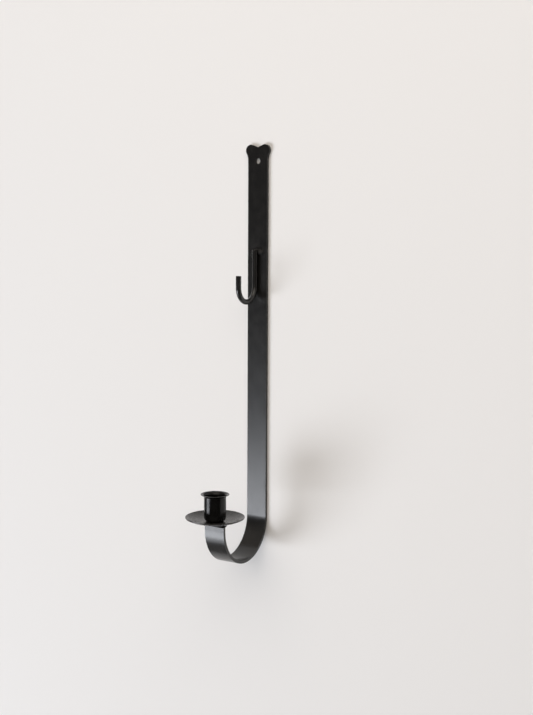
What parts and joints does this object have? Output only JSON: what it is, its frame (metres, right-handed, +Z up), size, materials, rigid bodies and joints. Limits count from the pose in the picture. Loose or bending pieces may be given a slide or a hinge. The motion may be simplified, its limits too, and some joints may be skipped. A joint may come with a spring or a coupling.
{
  "type": "wall candle holder with wreath hook",
  "caption": "Wall-hung flat bar bent forward at its foot to carry a drip pan and candle cup, with a round-wire hook for a wreath above.",
  "frame": {"origin": "on the hanging hole's axis, in the back face of the strap, where it meets the wall", "axes": "+Z up along the strap, -Y forward into the room, +Y into the wall, +X to the right as seen from the room"},
  "size_m": [0.065, 0.1195, 0.4657],
  "materials": {
    "satin_black_coat": "satin powder coat on steel",
    "gloss_black_coat": "gloss lacquer on drawn steel sheet",
    "bare_weld_steel": "bare fused steel, hidden"
  },
  "bodies": {
    "root": {"wall_strap": "satin_black_coat", "wreath_hook": "satin_black_coat", "hook_weld": "satin_black_coat", "drip_pan": "satin_black_coat", "pan_weld": "satin_black_coat", "candle_cup": "gloss_black_coat", "cup_spot_weld": "bare_weld_steel"}
  },
  "joints": []
}
